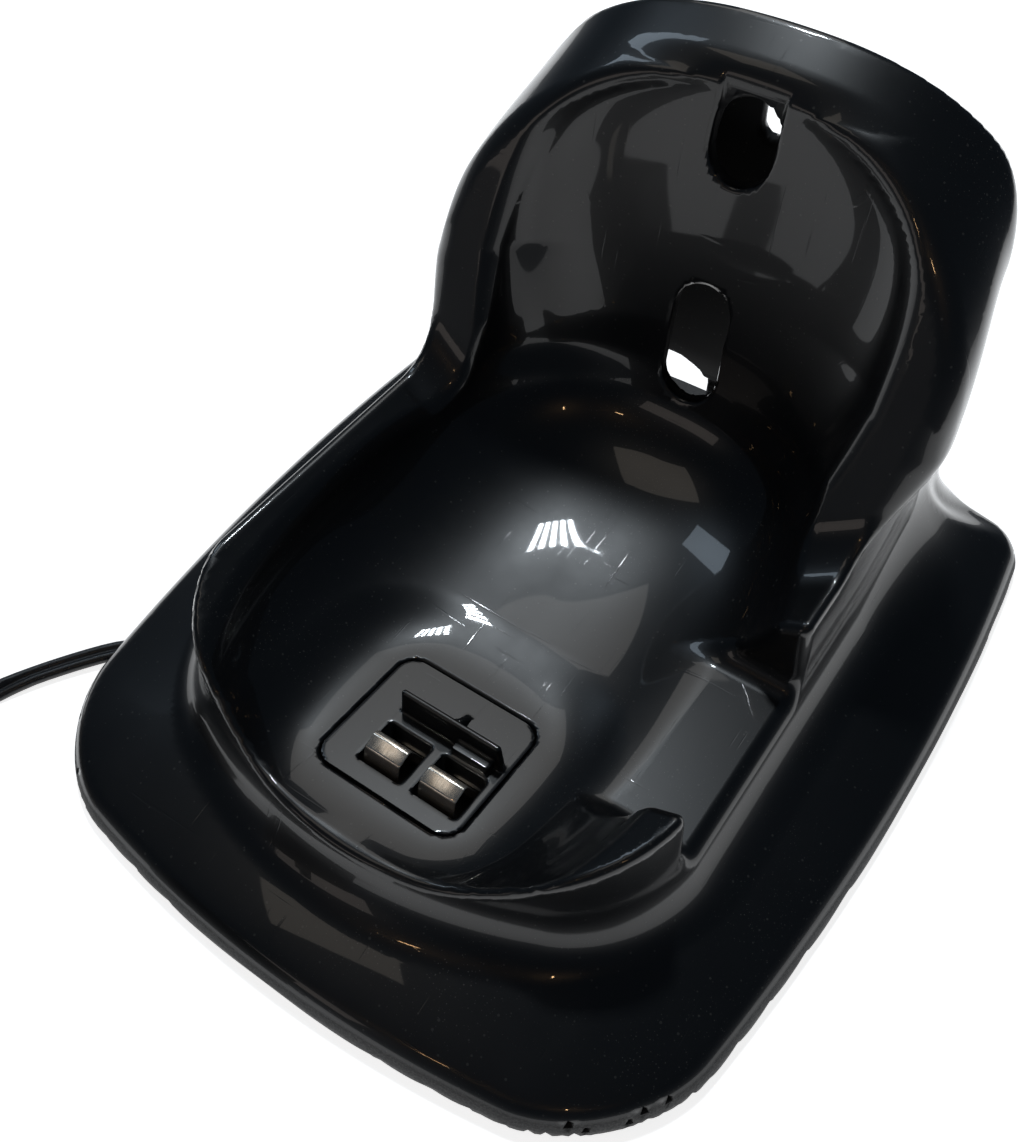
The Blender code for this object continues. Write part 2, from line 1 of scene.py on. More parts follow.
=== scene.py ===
"""Looks for the charging base: its glossy shell, contact panel, sprung contacts, twin lead and supply.

Shapes are worked out in millimetres, in the frame's own axes, and turned to metres when a mesh is made.
The shell is one signed distance field, so that its rims, rolls and fillets run into each other smoothly.
"""

import math

import bmesh
import bpy
import numpy as np
from mathutils import Matrix, Vector


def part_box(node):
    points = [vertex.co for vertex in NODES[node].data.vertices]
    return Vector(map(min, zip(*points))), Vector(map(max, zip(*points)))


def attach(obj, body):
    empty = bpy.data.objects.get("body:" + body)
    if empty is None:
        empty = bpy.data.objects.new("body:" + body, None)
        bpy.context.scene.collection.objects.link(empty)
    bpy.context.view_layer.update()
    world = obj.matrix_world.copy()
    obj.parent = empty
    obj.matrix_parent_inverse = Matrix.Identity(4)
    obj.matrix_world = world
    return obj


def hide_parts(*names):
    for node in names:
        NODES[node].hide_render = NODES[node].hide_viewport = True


MM = 0.001
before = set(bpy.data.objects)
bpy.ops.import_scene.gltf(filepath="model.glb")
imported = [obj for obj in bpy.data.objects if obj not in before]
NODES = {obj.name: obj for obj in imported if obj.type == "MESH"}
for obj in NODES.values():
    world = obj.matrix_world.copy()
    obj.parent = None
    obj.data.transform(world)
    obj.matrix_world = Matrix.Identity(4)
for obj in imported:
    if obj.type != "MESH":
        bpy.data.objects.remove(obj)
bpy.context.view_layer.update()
LOW, HIGH = (np.array(corner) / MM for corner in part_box("upper_housing"))

# Base and skirt
HALF_WIDTH = HIGH[0]
SIDE_RADIUS = 492.0
WIDEST_Y = 19.0
FRONT_Y, REAR_Y = LOW[1], HIGH[1]
FRONT_RADIUS = 227.0
REAR_RADIUS = 400.0
FRONT_CORNER = 20.0
REAR_CORNER = 8.0
SKIRT_EDGE = 3.6
SKIRT_FILLET = 9.5
REAR_FILLET_EXTRA = 6.0
CROWN_LOW, CROWN_RISE, CROWN_POWER = 4.7, 6.4, 0.62
# Cradle wall and tower
WALL_FOOT_WIDTH = 51.5
WALL_DRAFT = 0.075
WALL_DRAFT_ABOVE = 0.01
WALL_DRAFT_CHANGES_Z = 38.0
# The tower's sides swell in the middle of their height, and most towards the front
WALL_FLARE = 5.6
FLARE_STARTS_Z, FLARE_GROWS_OVER = 36.0, 18.0
FLARE_ENDS_Z, FLARE_FADES_OVER = 110.0, 30.0
FLARE_ENDS_Y, FLARE_FADES_BACK = 68.0, 28.0
WALL_FRONT_Y = -65.5
WALL_FRONT_RADIUS = 75.0
WALL_FRONT_CORNER = 14.0
WALL_REAR_Y = 80.0
WALL_REAR_DRAFT = 0.09
WALL_REAR_CORNER = 9.0
WALL_FOOT_Z = 21.0
# Heights over a gently sloping surface, times this, are distances from it
UPRIGHT_SLOPE = 0.93
SKIN = 2.2
SKIN_ABOVE_SKIRT = 1.2
RIM_LOW = 20.0
RIM_RISE = 15.5
RIM_REACH = 46.0
RIM_POWER = 1.6
FACE_Y = 6.4
FACE_LEAN = 0.5
VALLEY = 7.5
TOP_Z = 95.0
TOP_Y = 54.0
TOP_SLOPE = 0.47
ARCH_WIDTH = 52.0
ARCH_WIDENING = 3.2
ARCH_DROP = 36.0
ARCH_RADIUS = 200.0
# Roundings where the surfaces meet
TOP_EDGE = 2.4
RIM_EDGE, TOWER_EDGE_EXTRA, LOW_SIDE_EXTRA = 2.2, 0.4, 3.5
SCOOP_EDGE, TOWER_SCOOP_EXTRA = 2.0, 1.0
SCOOP_SEAM = 4.0
SHELF_EDGE = 2.2
# Bowl and recess
BOWL = np.array((43.0, 60.0, 24.0))
BOWL_FRONT = 68.0
BOWL_AT = np.array((0.0, -12.0, 38.0))
BOWL_POWER = 2.5
RECESS_WIDTH = 39.5
RECESS_WIDEST_Z = 58.0
RECESS_ARCH = 37.0
RECESS_BACK_Y = 41.0
RECESS_BACK_LEAN = 0.18
# Cut-down stretch of the right wall
SHELF_Z = 19.0
SHELF_MIDDLE_Y = -15.75
SHELF_HALF = 20.75
SHELF_LEFT_X = 12.0
# Contact panel
PANEL_Y = -39.7
PANEL_Z = 15.4
PANEL_SLOPE = 0.1
PANEL_HALF = (15.15, 14.2)
PANEL_CORNER = 4.0
PANEL_GAP = 0.3
PANEL_EDGE = 0.2
# Slots, each with its place across, its heights, half its width, and its depth from front to back:
# the lower slot, the upper slot and its pocket, the lead's way out at the rear, and two screw holes
SLOTS = ((0.0, (32.0, 58.0), 6.0, (36.0, 64.0)),
         (0.0, (78.0, 130.0), 6.0, (38.0, 58.6)),
         (0.0, (78.0, 93.0), 6.0, (38.0, 64.0)),
         (-16.0, (-20.0, 17.0), 6.0, (70.0, 200.0)),
         (0.0, (40.0, 52.0), 2.5, (66.0, 200.0)),
         (0.0, (80.0, 92.0), 2.5, (64.0, 200.0)))
SLOT_EDGE = 0.7
LOWER_EDGE = 0.8
# Size of the shell's faces, and stretches of each axis where they are finer: from, to and size
CELL = 1.2
FINE = ((-17.0, 17.0, 0.6), (-56.5, -23.0, 0.6), (11.5, 19.0, 0.6))
SETTLE_STEP = 0.05
NORMAL_STEP = 0.12
NORMALS_AGREE = 0.95
# Twin lead: its route on the surface, its coil and its supply
CORD_WIDTH = 4.2
CORD_ROUTE = [(-47.3, -35.6, 5.8), (-51.2, -36.6, 5.8), (-55.4, -39.2, 5.6), (-58.6, -41.9, 4.9),
              (-62.4, -45.3, 3.0), (-66.4, -48.9, 1.9), (-70.5, -52.6, 1.5), (-73.8, -56.8, 1.3),
              (-77.0, -61.6, 1.2), (-79.8, -66.4, 1.2), (-82.0, -71.0, 1.2), (-83.4, -74.6, 1.2),
              (-84.4, -77.6, 1.3)]
COIL_LEAD_IN = [(-84.9, -83.5, 1.6), (-83.6, -91.5, 2.0), (-81.1, -101.0, 2.2)]
COIL_LEAD_OUT = [(-86.5, -88.5, 15.0), (-79.0, -93.4, 14.4)]
COIL_AT = np.array((-109.0, -101.0))
COIL_RADIUS = 23.6
COIL_PITCH = 4.3
# The column and layer of each turn, and where in a turn the lead crosses to the next one's place
COIL_COLUMNS = (2, 1, 0, 0, 1, 2, 2, 1, 0, 0, 1)
COIL_LAYERS = (0, 0, 0, 1, 1, 1, 2, 2, 2, 3, 3)
COIL_TURNS = 10.86
COIL_STEPS = 36
CROSSES_AT, CROSSES_OVER = 0.75, 0.14
# How far from the supply's middle its strain relief's end is, and the height of both
RELIEF_END = 35.3
RELIEF_Z = 13.0
# The twin lead lies on edge in the coil and flat where it comes out of it
COIL_ROLL = math.radians(40)
FLAT_BEYOND, FLATTENS_OVER = 46.0, 12.0
ADAPTOR_AT = (-39.1, -137.4)
ADAPTOR_TURN = math.radians(139.7)
# Contacts, in the panel's own axes
PANEL_TILT = -math.atan(0.1)
PANEL_CELL = 0.4
CONTACT_X = (-3.5, 8.5)
CONTACT_Y = -5.3
CONTACT_WIDTH = 7.7
CONTACT_THICK = 0.4
CONTACT_BEND = 0.28
CONTACT_LINE = ((-3.9, -5.6), (-4.0, 0.0), (-3.5, 2.6), (-1.1, 3.6), (-0.2, 3.4), (2.6, -1.6),
                (3.6, -5.8), (7.5, -6.2))
# Across the strip, in widths: how much of its thickness is left, so that its edges are rounded
CONTACT_EDGES = ((-0.5, 0.55), (-0.49, 0.85), (-0.475, 1.0), (0.475, 1.0), (0.49, 0.85), (0.5, 0.55))
WINDOW_HALF = (4.8, 4.9)
# Finish of each CAD node that stays, by the start of its name
NODE_FINISH = (("foot", "rubber"), ("base_screw", "steel"), ("carrier_screw", "steel"),
               ("clamp_screw", "steel"), ("contact_carrier", "gloss"), ("contact_", "nickel"),
               ("terminal", "nickel"), ("adaptor_pin", "nickel"), ("adaptor_strain", "lead"),
               ("adaptor", "adaptor"), ("wire", "lead"))
BLACK = (0.004, 0.0045, 0.0055)
# Camera and lights
CAMERA_ANGLES = [math.radians(angle) for angle in (34.2413, 50.8557, 0.6029)]
CAMERA_LENS = 37.915
CAMERA_AT = Vector((0.074775, -0.124235, 0.201643))
LIGHTS_AIM = (0, 0, 20)
WINDOW_BARS = 5


def soft_corner(a, b, radius):
    """The intersection of two fields, rounded to a radius where they meet."""
    inside = np.minimum(np.maximum(a + radius, b + radius), 0.0)
    return inside + np.hypot(np.maximum(a + radius, 0.0), np.maximum(b + radius, 0.0)) - radius


def soft_join(a, b, radius):
    """The union of two fields, with a fillet of a radius where they meet."""
    return -soft_corner(-a, -b, radius)


def smooth_step(t):
    t = np.clip(t, 0.0, 1.0)
    return t * t * (3 - 2 * t)


def base_field(x, y):
    """The base's outline, with bowed sides."""
    bow = SIDE_RADIUS - np.sqrt(SIDE_RADIUS**2 - (y - WIDEST_Y) ** 2)
    side = np.abs(x) - (HALF_WIDTH - bow)
    front = FRONT_Y + x * x / (2 * FRONT_RADIUS) - y
    rear = y - REAR_Y + x * x / (2 * REAR_RADIUS)
    return np.maximum(soft_corner(side, front, FRONT_CORNER), soft_corner(side, rear, REAR_CORNER))


def wall_field(x, y, z):
    """The outer side of the cradle's wall and of the tower."""
    flare = smooth_step((z - FLARE_STARTS_Z) / FLARE_GROWS_OVER)
    flare = flare * smooth_step((FLARE_ENDS_Z - z) / FLARE_FADES_OVER)
    flare = flare * smooth_step((FLARE_ENDS_Y - y) / FLARE_FADES_BACK)
    above = np.maximum(z - WALL_DRAFT_CHANGES_Z, 0.0)
    half_width = WALL_FOOT_WIDTH - WALL_DRAFT * (z - above) - WALL_DRAFT_ABOVE * above
    side = np.abs(x) - half_width - WALL_FLARE * flare * smooth_step((y - 10.0) / 10.0)
    front = WALL_FRONT_Y + x * x / (2 * WALL_FRONT_RADIUS) - y
    rear = y - (WALL_REAR_Y - WALL_REAR_DRAFT * z)
    at_front = soft_corner(side, front, WALL_FRONT_CORNER)
    return np.maximum(at_front, soft_corner(side, rear, WALL_REAR_CORNER))


def skirt_field(x, y, z, base, wall):
    """The skirt's low crown, from the base's edge up to the foot of the wall."""
    share = np.clip(-base / np.maximum(-base + np.maximum(wall, 0.0), 1.0), 0.0, 1.0)
    crown = CROWN_LOW + CROWN_RISE * (share + 0.01) ** CROWN_POWER
    return soft_corner(base, (z - crown) * UPRIGHT_SLOPE, SKIRT_EDGE)


def rim_field(x, y, z):
    """What stays below the rim or behind the tower's leaning face, with a fillet where they meet."""
    rim = RIM_LOW + RIM_RISE * (np.abs(x) / RIM_REACH) ** RIM_POWER
    below = (z - rim) * UPRIGHT_SLOPE
    behind = (FACE_Y + FACE_LEAN * z - y) / math.hypot(1.0, FACE_LEAN)
    return soft_join(below, behind, VALLEY)


def top_field(x, y, z):
    width = ARCH_WIDTH + ARCH_WIDENING * smooth_step((72.0 - y) / 26.0)
    across = np.minimum(np.abs(x) / width, 0.999)
    drop = ARCH_DROP * (1 - (1 - across**3) ** (1 / 3)) + x * x / (2 * ARCH_RADIUS)
    slope = np.minimum(ARCH_DROP * across**2 / width / (1 - across**3) ** (2 / 3), 3.0)
    height = TOP_Z + TOP_SLOPE * (np.maximum(y, 26.0) - TOP_Y) - drop
    return (z - height) / np.sqrt(1 + TOP_SLOPE**2 + slope**2)


def panel_plane(y):
    return PANEL_Z - PANEL_SLOPE * (y - PANEL_Y)


def panel_outline(x, y, grow=0.0):
    u = np.abs(x) - PANEL_HALF[0] - grow
    v = np.abs(y - PANEL_Y) - PANEL_HALF[1] - grow
    return soft_corner(u, v, PANEL_CORNER + grow)


def bowl_field(x, y, z):
    """Negative inside the bowl's space. Its floor is flattened round the contact panel."""
    reach_y = np.where(y > BOWL_AT[1], BOWL[1], BOWL_FRONT)
    u = np.abs(x / BOWL[0])
    v = np.abs((y - BOWL_AT[1]) / reach_y)
    level = np.clip(1 - u**BOWL_POWER - v**BOWL_POWER, 0.0, 1.0)
    floor = BOWL_AT[2] - BOWL[2] * level ** (1 / BOWL_POWER)
    near = smooth_step(1 - panel_outline(x, y) / 17.0) * smooth_step((27.0 - z) / 6.0)
    w = np.abs((z + near * (floor - panel_plane(y)) - BOWL_AT[2]) / BOWL[2])
    total = np.maximum(u**BOWL_POWER + v**BOWL_POWER + w**BOWL_POWER, 1e-9)
    size = total ** (1 / BOWL_POWER)
    power = BOWL_POWER - 1
    steep = np.sqrt((u**power / BOWL[0]) ** 2 + (v**power / reach_y) ** 2 + (w**power / BOWL[2]) ** 2)
    return (size - 1) / np.maximum(steep * size ** (-power), 1 / 80)


def recess_field(x, y, z):
    """Negative inside the tower's recess, which stays open to the front."""
    high = np.clip((z - RECESS_WIDEST_Z) / RECESS_ARCH, 0.0, 0.985)
    width = RECESS_WIDTH * (1 - high**3) ** (1 / 3) - 0.17 * np.maximum(RECESS_WIDEST_Z - z, 0.0)
    middle = FACE_Y - 2 + FACE_LEAN * z
    depth = np.maximum(RECESS_BACK_Y + RECESS_BACK_LEAN * z - middle, 4.0)
    u = np.abs(x) / width
    v = np.maximum(y - middle, 0.0) / depth
    total = np.maximum(u**BOWL_POWER + v**BOWL_POWER, 1e-9)
    size = total ** (1 / BOWL_POWER)
    power = BOWL_POWER - 1
    shoulder = high**2 / (1 - high**3) ** (2 / 3) * RECESS_WIDTH / RECESS_ARCH
    steep = np.sqrt((u**power / width) ** 2 * (1 + shoulder**2) + (v**power / depth) ** 2)
    sides = (size - 1) / np.maximum(steep * size ** (-power), 1 / 80)
    return soft_corner(sides, 34.0 - z, 5.0)


def shelf_field(x, y, z):
    across = np.abs(y - SHELF_MIDDLE_Y) - SHELF_HALF
    return soft_corner(soft_corner(SHELF_Z - z, across, 4.0), SHELF_LEFT_X - x, 3.0)


def slot_field(x, z, low, high, half):
    """An upright slot with round ends."""
    middle = np.clip(z, low + half, high - half)
    return np.hypot(x, z - middle) - half


def body_field(x, y, z):
    """The shell's outer skin, as if it were solid and had no bottom."""
    base = base_field(x, y)
    wall = wall_field(x, y, z)
    foot = wall_field(x, y, WALL_FOOT_Z)
    beside = smooth_step((y - 30.0) / 30.0) * smooth_step((foot - base - 14.0) / 8.0)
    fillet = SKIRT_FILLET + REAR_FILLET_EXTRA * beside
    block = np.maximum(soft_join(skirt_field(x, y, z, base, foot), wall, fillet), base)
    block = soft_corner(block, top_field(x, y, z), TOP_EDGE)
    on_tower = smooth_step((z - 38.0) / 14.0)
    low_side = smooth_step((np.abs(x) - 28.0) / 14.0) * smooth_step((75.0 - z) / 20.0)
    edge = RIM_EDGE + on_tower * (TOWER_EDGE_EXTRA + LOW_SIDE_EXTRA * low_side)
    block = soft_corner(block, rim_field(x, y, z), edge)
    scoop = soft_join(bowl_field(x, y, z), recess_field(x, y, z), SCOOP_SEAM)
    block = soft_corner(block, -scoop, SCOOP_EDGE + TOWER_SCOOP_EXTRA * on_tower)
    return soft_corner(block, -shelf_field(x, y, z), SHELF_EDGE)


def shell_field(x, y, z):
    """The moulded shell: its skin's thickness, open below, with its slots and the panel's opening."""
    body = body_field(x, y, z)
    skin = SKIN + SKIN_ABOVE_SKIRT * smooth_step((z - 6.0) / 4.0)
    shell = soft_corner(np.maximum(body, -(body + skin)), LOW[2] - z, LOWER_EDGE)
    for across, heights, half, (start, end) in SLOTS:
        slot = np.maximum(slot_field(x - across, z, *heights, half), np.maximum(start - y, y - end))
        shell = soft_corner(shell, -slot, SLOT_EDGE)
    panel = np.maximum(panel_outline(x, y, PANEL_GAP), np.abs(z - 16.0) - 10.0)
    return soft_corner(shell, -panel, PANEL_EDGE)


def gradient(field, points, step=SETTLE_STEP):
    found = np.empty_like(points)
    for axis in range(3):
        ahead, behind = points.copy(), points.copy()
        ahead[:, axis] += step
        behind[:, axis] -= step
        found[:, axis] = (field(*ahead.T) - field(*behind.T)) / (2 * step)
    return found


def graded(low, high, cell, fine):
    """Grid lines along one axis, closer together between a pair of limits."""
    start, end, fine_cell = fine
    counts = [max(1, round((b - a) / c)) for a, b, c in
              ((low - cell, start, cell), (start, end, fine_cell), (end, high + cell, cell))]
    return np.concatenate((np.linspace(low - cell, start, counts[0] + 1)[:-1],
                           np.linspace(start, end, counts[1] + 1)[:-1],
                           np.linspace(end, high + cell, counts[2] + 1)))


def surface_of(field, axes):
    """Points and quads on a field's zero level: one point in each cell that it passes through."""
    counts = [len(axis) for axis in axes]
    value = np.empty(counts, np.float32)
    y, z = np.meshgrid(axes[1], axes[2], indexing="ij")
    for i, x in enumerate(axes[0]):
        value[i] = field(np.full_like(y, x), y, z)
    inside = value < 0
    total = np.zeros([n - 1 for n in counts] + [3], np.float32)
    hits = np.zeros([n - 1 for n in counts], np.int16)
    crossings = []
    for axis in range(3):
        near = [slice(None)] * 3
        far = [slice(None)] * 3
        near[axis], far[axis] = slice(None, -1), slice(1, None)
        where = np.argwhere(inside[tuple(near)] != inside[tuple(far)])
        start = value[tuple(where.T)]
        step = np.zeros(3, int)
        step[axis] = 1
        end = value[tuple((where + step).T)]
        place = where.astype(np.float32)
        place[:, axis] += start / (start - end)
        others = [k for k in range(3) if k != axis]
        for du in (0, 1):
            for dv in (0, 1):
                owner = where.copy()
                owner[:, others[0]] -= du
                owner[:, others[1]] -= dv
                fits = (owner >= 0).all(1) & (owner < hits.shape).all(1)
                np.add.at(total, tuple(owner[fits].T), place[fits])
                np.add.at(hits, tuple(owner[fits].T), 1)
        crossings.append((axis, others, where, start < 0))
    number = np.full(hits.shape, -1, np.int64)
    active = np.argwhere(hits > 0)
    number[tuple(active.T)] = np.arange(len(active))
    places = total[tuple(active.T)] / hits[tuple(active.T)][:, None]
    points = np.stack([np.interp(places[:, k], np.arange(counts[k]), axes[k]) for k in range(3)], 1)
    quads = []
    for axis, others, where, leaving in crossings:
        ring = []
        for du, dv in ((1, 1), (0, 1), (0, 0), (1, 0)):
            owner = where.copy()
            owner[:, others[0]] -= du
            owner[:, others[1]] -= dv
            ring.append(number[tuple(owner.T)])
        quad = np.stack(ring, 1)
        flip = leaving if axis != 1 else ~leaving
        quad[~flip] = quad[~flip][:, ::-1]
        quads.append(quad)
    return points.astype(float), np.concatenate(quads)


def settle(field, points, cell, rounds=4):
    """Moves each point onto the field's surface, along its slope."""
    for _ in range(rounds):
        slope = gradient(field, points)
        size = np.maximum((slope**2).sum(1, keepdims=True), 0.05)
        move = field(*points.T)[:, None] * slope / size
        far = np.linalg.norm(move, axis=1, keepdims=True)
        points = points - move * np.minimum(1.0, 0.5 * cell / np.maximum(far, 1e-9))
    return points


def face_normals(points, faces):
    """Each point's normal from the faces round it."""
    a, b, c, d = (points[faces[:, k]] for k in range(4))
    flat = np.cross(c - a, d - b)
    total = np.zeros_like(points)
    for k in range(4):
        np.add.at(total, faces[:, k], flat)
    return total / np.maximum(np.linalg.norm(total, axis=1, keepdims=True), 1e-9)


def mesh_object(name, points, faces, finish, normals=None):
    """A smooth-shaded mesh from points in millimetres and faces that all have as many corners."""
    mesh = bpy.data.meshes.new(name)
    faces = np.asarray(faces)
    mesh.vertices.add(len(points))
    mesh.vertices.foreach_set("co", (np.asarray(points, float) * MM).ravel())
    mesh.loops.add(faces.size)
    mesh.loops.foreach_set("vertex_index", faces.ravel())
    mesh.polygons.add(len(faces))
    mesh.polygons.foreach_set("loop_start", np.arange(0, faces.size, faces.shape[1]))
    mesh.update(calc_edges=True)
    mesh.validate()
    mesh.shade_smooth()
    if normals is not None:
        mesh.normals_split_custom_set_from_vertices([Vector(n) for n in normals])
    made = bpy.data.objects.new(name, mesh)
    bpy.context.scene.collection.objects.link(made)
    mesh.materials.append(finish)
    return made


def shell(finish):
    """The glossy housing. Its normals come from the field where the faces agree with it."""
    axes = [graded(low, high, CELL, fine) for low, high, fine in zip(LOW, HIGH, FINE)]
    points, faces = surface_of(shell_field, axes)
    points = settle(shell_field, points, CELL)
    slope = gradient(shell_field, points, NORMAL_STEP)
    normals = slope / np.maximum(np.linalg.norm(slope, axis=1, keepdims=True), 1e-9)
    by_faces = face_normals(points, faces)
    agree = (normals * by_faces).sum(1, keepdims=True)
    normals = np.where(agree > NORMALS_AGREE, normals, by_faces)
    made = mesh_object("shell", points, faces, finish, normals)
    inside = made.data.attributes.new("inside", "FLOAT", "POINT")
    inside.data.foreach_set("value", smooth_step((-body_field(*points.T) - 0.9) / 0.6))
    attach(made, "base")
    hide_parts("upper_housing")


# Materials


def new_material(name, color, roughness, metallic=0.0):
    made = bpy.data.materials.new(name)
    made.use_nodes = True
    shader = made.node_tree.nodes["Principled BSDF"]
    shader.inputs["Base Color"].default_value = (*color, 1.0)
    shader.inputs["Roughness"].default_value = roughness
    shader.inputs["Metallic"].default_value = metallic
    return made, made.node_tree, shader


class Graph:
    """Short ways to add nodes to a material's tree."""

    def __init__(self, tree):
        self.tree = tree
        self.place = self.add("ShaderNodeTexCoord").outputs["Object"]

    def add(self, kind, inputs=None, **settings):
        made = self.tree.nodes.new(kind)
        for name, value in settings.items():
            setattr(made, name, value)
        for name, value in (inputs or {}).items():
            if isinstance(value, bpy.types.NodeSocket):
                self.tree.links.new(value, made.inputs[name])
            else:
                made.inputs[name].default_value = value
        return made

    def noise(self, scale, detail=4.0, roughness=0.6, stretch=None, turn=(0, 0, 0)):
        place = self.place
        if stretch:
            mapping = self.add("ShaderNodeMapping", {"Vector": place})
            mapping.inputs["Scale"].default_value = stretch
            mapping.inputs["Rotation"].default_value = turn
            place = mapping.outputs["Vector"]
        return self.add("ShaderNodeTexNoise", {"Vector": place, "Scale": scale, "Detail": detail,
                                               "Roughness": roughness}).outputs["Fac"]

    def speckle(self, scale, size):
        """One in a small area around scattered points, zero elsewhere."""
        spots = self.add("ShaderNodeTexVoronoi", {"Vector": self.place, "Scale": scale, "Randomness": 1.0})
        chance = self.add("ShaderNodeSeparateColor", {"Color": spots.outputs["Color"]}).outputs["Red"]
        limit = self.math("MULTIPLY", chance, size)
        return self.math("LESS_THAN", spots.outputs["Distance"], limit)

    def math(self, kind, a, b, clamp=False):
        made = self.add("ShaderNodeMath", {0: a, 1: b}, operation=kind)
        made.use_clamp = clamp
        return made.outputs["Value"]

    def between(self, value, low, high, out_low=0.0, out_high=1.0):
        return self.add("ShaderNodeMapRange", {"Value": value, "From Min": low, "From Max": high,
                                               "To Min": out_low, "To Max": out_high}).outputs["Result"]

    def mix(self, share, a, b):
        made = self.add("ShaderNodeMix", {0: share}, data_type="RGBA")
        for name, value in (("A", a), ("B", b)):
            socket = [k for k in made.inputs if k.name == name and k.type == "RGBA"][0]
            if isinstance(value, bpy.types.NodeSocket):
                self.tree.links.new(value, socket)
            else:
                socket.default_value = (*value, 1.0)
        return [k for k in made.outputs if k.type == "RGBA"][0]

    def bump(self, height, distance, strength=1.0):
        return self.add("ShaderNodeBump", {"Height": height, "Distance": distance,
                                           "Strength": strength}).outputs["Normal"]


def gloss_black():
    """Piano black: a clear gloss over a hazier black, with dust, hairlines and a grained lower edge."""
    made, tree, shader = new_material("piano_black", BLACK, 0.3)
    graph = Graph(tree)
    shader.inputs["Coat Roughness"].default_value = 0.03
    shader.inputs["Coat IOR"].default_value = 1.36
    shader.inputs["Specular IOR Level"].default_value = 0.3
    height = graph.add("ShaderNodeSeparateXYZ", {"Vector": graph.place}).outputs["Z"]
    band = graph.between(height, 4.9 * MM, 4.3 * MM)
    specks = graph.speckle(650.0, 0.16)
    fine = graph.speckle(1900.0, 0.2)
    patches = graph.between(graph.noise(38.0, 3.0), 0.5, 0.72)
    dusty = graph.math("MAXIMUM", graph.math("MULTIPLY", specks, 0.35),
                       graph.math("MULTIPLY", fine, patches))
    haze = graph.between(graph.noise(70.0, 5.0, 0.7), 0.35, 0.75, 0.0, 0.05)
    hairs = graph.noise(1.0, 2.0, 0.4, (1500.0, 60.0, 60.0), (0.3, 0.5, 0.9))
    across = graph.noise(1.0, 2.0, 0.4, (50.0, 1300.0, 60.0), (0.2, 0.1, -0.5))
    scratch = graph.math("MAXIMUM", graph.between(hairs, 0.7, 0.76), graph.between(across, 0.71, 0.77))
    colour = graph.mix(graph.math("MULTIPLY", dusty, 0.5, True), BLACK, (0.16, 0.16, 0.15))
    grain = graph.between(graph.noise(2600.0, 2.0), 0.4, 0.7)
    grey = graph.mix(grain, (0.028, 0.029, 0.03), (0.075, 0.075, 0.075))
    tree.links.new(graph.mix(band, colour, grey), shader.inputs["Base Color"])
    inside = graph.add("ShaderNodeAttribute", attribute_name="inside").outputs["Fac"]
    rough = graph.math("ADD", graph.between(band, 0.0, 1.0, 0.3, 0.62),
                       graph.math("ADD", haze, graph.math("MULTIPLY", inside, 0.5)))
    tree.links.new(rough, shader.inputs["Roughness"])
    dull = graph.math("MAXIMUM", graph.math("MULTIPLY", dusty, 0.5), inside)
    clear = graph.math("SUBTRACT", graph.between(band, 0.0, 1.0, 0.9, 0.0), dull, True)
    tree.links.new(clear, shader.inputs["Coat Weight"])
    relief = graph.math("ADD", graph.math("MULTIPLY", scratch, -0.5), graph.math("MULTIPLY", band, grain))
    tree.links.new(graph.bump(relief, 0.03 * MM, 0.6), shader.inputs["Normal"])
    scored = graph.bump(graph.math("MULTIPLY", scratch, -1.0), 0.012 * MM, 0.5)
    tree.links.new(scored, shader.inputs["Coat Normal"])
    return made


def matt_plastic(name, colour, roughness=0.5):
    """A dull moulding with a fine grain and cloudy wear."""
    made, tree, shader = new_material(name, colour, roughness)
    graph = Graph(tree)
    grain = graph.noise(1600.0, 3.0)
    lighter = tuple(min(1.0, c * 1.5 + 0.006) for c in colour)
    tree.links.new(graph.mix(graph.between(graph.noise(60.0), 0.3, 0.8), colour, lighter),
                   shader.inputs["Base Color"])
    rough = graph.between(grain, 0.3, 0.7, roughness - 0.08, roughness + 0.1)
    tree.links.new(rough, shader.inputs["Roughness"])
    tree.links.new(graph.bump(grain, 0.05 * MM, 0.5), shader.inputs["Normal"])
    return made


def nickel():
    """Bright plating, slightly warm, rubbed along the direction in which an appliance slides in."""
    made, tree, shader = new_material("nickel", (0.70, 0.64, 0.56), 0.2, 0.9)
    graph = Graph(tree)
    wear = graph.between(graph.noise(260.0, 5.0, 0.7), 0.35, 0.75)
    tree.links.new(graph.mix(wear, (0.74, 0.69, 0.62), (0.48, 0.41, 0.33)), shader.inputs["Base Color"])
    rubbed = graph.noise(1.0, 3.0, 0.5, (3000.0, 300.0, 300.0))
    tree.links.new(graph.between(rubbed, 0.3, 0.7, 0.16, 0.26), shader.inputs["Roughness"])
    tree.links.new(graph.bump(rubbed, 0.002 * MM, 0.3), shader.inputs["Normal"])
    return made


def steel():
    """Zinc-plated screws."""
    made, tree, shader = new_material("zinc_steel", (0.55, 0.55, 0.56), 0.32, 1.0)
    graph = Graph(tree)
    cloud = graph.noise(400.0, 4.0)
    tree.links.new(graph.mix(cloud, (0.5, 0.5, 0.51), (0.64, 0.63, 0.6)), shader.inputs["Base Color"])
    tree.links.new(graph.between(cloud, 0.3, 0.7, 0.25, 0.42), shader.inputs["Roughness"])
    return made


def lead_jacket():
    """The lead's soft jacket, with a little dust."""
    made, tree, shader = new_material("lead_jacket", (0.008, 0.008, 0.009), 0.3)
    graph = Graph(tree)
    grain = graph.noise(900.0, 4.0)
    tree.links.new(graph.mix(graph.speckle(1100.0, 0.2), (0.008, 0.008, 0.009), (0.06, 0.06, 0.06)),
                   shader.inputs["Base Color"])
    tree.links.new(graph.between(grain, 0.3, 0.7, 0.24, 0.38), shader.inputs["Roughness"])
    tree.links.new(graph.bump(grain, 0.02 * MM, 0.5), shader.inputs["Normal"])
    return made


# Pieces


